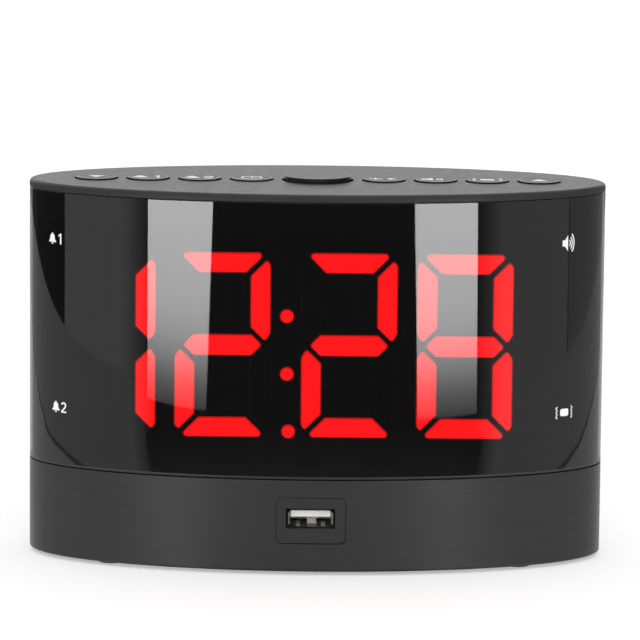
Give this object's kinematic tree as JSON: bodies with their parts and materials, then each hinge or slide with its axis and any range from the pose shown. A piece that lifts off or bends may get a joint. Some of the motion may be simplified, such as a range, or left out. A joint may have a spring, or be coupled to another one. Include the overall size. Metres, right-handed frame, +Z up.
{
  "type": "alarm clock",
  "caption": "Free-standing oval digital alarm clock with a smoked wrap-around lens, tall red LED digits, top push keys and a USB charging port in a brushed base.",
  "frame": {"origin": "on the standing surface, under the middle of the oval case", "axes": "+Z up, +X to the right for someone reading the time, -Y is the front that shows the time"},
  "size_m": [0.162, 0.0704, 0.1076],
  "materials": {
    "cover": "fine satin moulded black plastic",
    "key_caps": "smooth satin black plastic with printed white symbols",
    "lens": "polished smoked acrylic",
    "rear_shell": "fine textured black plastic",
    "brushed_base": "black plastic with a horizontal hairline brushed finish",
    "underside_plastic": "fine textured black plastic",
    "socket_plastic": "moulded black plastic",
    "mask_plastic": "matt black",
    "lit_diffuser": "milky light diffuser, lit red",
    "white_plastic": "white moulded plastic",
    "circuit_board": "green solder mask",
    "plated_steel": "plated",
    "screw_steel": "dark zinc plated",
    "contact_brass": "stamped spring strip",
    "capacitor_can": "drawn can",
    "magnet": "ferrite",
    "paper_cone": "pressed paper",
    "ribbon": "flat grey cable",
    "foot_rubber": "soft matt rubber"
  },
  "bodies": {
    "case": {"top_cover": "cover", "display_lens": "lens", "rear_cover": "rear_shell", "base_housing": "brushed_base", "usb_bezel": "brushed_base", "bottom_cover": "underside_plastic", "usb_shell": "plated_steel", "usb_tongue": "white_plastic", "dc_jack": "socket_plastic", "shaker_jack": "socket_plastic", "display_mask": "mask_plastic", "display_diffuser": "lit_diffuser", "display_board": "circuit_board", "key_board": "circuit_board", "power_board": "circuit_board", "controller_chip": "socket_plastic", "filter_capacitor": "capacitor_can", "ribbon_cable": "ribbon", "speaker_frame": "plated_steel", "speaker_cone": "paper_cone", "speaker_magnet": "magnet", "coin_cell": "plated_steel", "battery_contact_positive": "contact_brass", "battery_contact_negative": "contact_brass", "down_switch": "socket_plastic", "alarm_1_switch": "socket_plastic", "alarm_2_switch": "socket_plastic", "time_switch": "socket_plastic", "dimmer_switch": "socket_plastic", "volume_switch": "socket_plastic", "vibration_switch": "socket_plastic", "up_switch": "socket_plastic", "snooze_switch": "socket_plastic", "foot_front_left": "foot_rubber", "case_screw_front_left": "screw_steel", "foot_rear_left": "foot_rubber", "case_screw_rear_left": "screw_steel", "foot_front_right": "foot_rubber", "case_screw_front_right": "screw_steel", "foot_rear_right": "foot_rubber", "case_screw_rear_right": "screw_steel"},
    "down_button": {"down_key": "key_caps", "down_plunger": "white_plastic"},
    "alarm_1_button": {"alarm_1_key": "key_caps", "alarm_1_plunger": "white_plastic"},
    "alarm_2_button": {"alarm_2_key": "key_caps", "alarm_2_plunger": "white_plastic"},
    "time_button": {"time_key": "key_caps", "time_plunger": "white_plastic"},
    "dimmer_button": {"dimmer_key": "key_caps", "dimmer_plunger": "white_plastic"},
    "volume_button": {"volume_key": "key_caps", "volume_plunger": "white_plastic"},
    "vibration_button": {"vibration_key": "key_caps", "vibration_plunger": "white_plastic"},
    "up_button": {"up_key": "key_caps", "up_plunger": "white_plastic"},
    "snooze_button": {"snooze_key": "key_caps", "snooze_plunger": "white_plastic"},
    "battery_door": {"battery_door": "underside_plastic"}
  },
  "joints": [
    {"name": "down_press", "type": "slide", "parent": "case", "child": "down_button", "axis": [0, 0, -1], "range_m": [0, 0.0004], "stiffness_N_per_m": 400, "springref_m": -0.0005},
    {"name": "alarm_1_press", "type": "slide", "parent": "case", "child": "alarm_1_button", "axis": [0, 0, -1], "range_m": [0, 0.0004], "stiffness_N_per_m": 400, "springref_m": -0.0005},
    {"name": "alarm_2_press", "type": "slide", "parent": "case", "child": "alarm_2_button", "axis": [0, 0, -1], "range_m": [0, 0.0004], "stiffness_N_per_m": 400, "springref_m": -0.0005},
    {"name": "time_press", "type": "slide", "parent": "case", "child": "time_button", "axis": [0, 0, -1], "range_m": [0, 0.0004], "stiffness_N_per_m": 400, "springref_m": -0.0005},
    {"name": "dimmer_press", "type": "slide", "parent": "case", "child": "dimmer_button", "axis": [0, 0, -1], "range_m": [0, 0.0004], "stiffness_N_per_m": 400, "springref_m": -0.0005},
    {"name": "volume_press", "type": "slide", "parent": "case", "child": "volume_button", "axis": [0, 0, -1], "range_m": [0, 0.0004], "stiffness_N_per_m": 400, "springref_m": -0.0005},
    {"name": "vibration_press", "type": "slide", "parent": "case", "child": "vibration_button", "axis": [0, 0, -1], "range_m": [0, 0.0004], "stiffness_N_per_m": 400, "springref_m": -0.0005},
    {"name": "up_press", "type": "slide", "parent": "case", "child": "up_button", "axis": [0, 0, -1], "range_m": [0, 0.0004], "stiffness_N_per_m": 400, "springref_m": -0.0005},
    {"name": "snooze_press", "type": "slide", "parent": "case", "child": "snooze_button", "axis": [0, 0, -1], "range_m": [0, 0.0006], "stiffness_N_per_m": 400, "springref_m": -0.0005},
    {"name": "battery_door_turn", "type": "hinge", "parent": "case", "child": "battery_door", "pos_m": [-0.028, 0, 0.002], "axis": [0, 0, -1], "range_deg": [0, 90]}
  ]
}
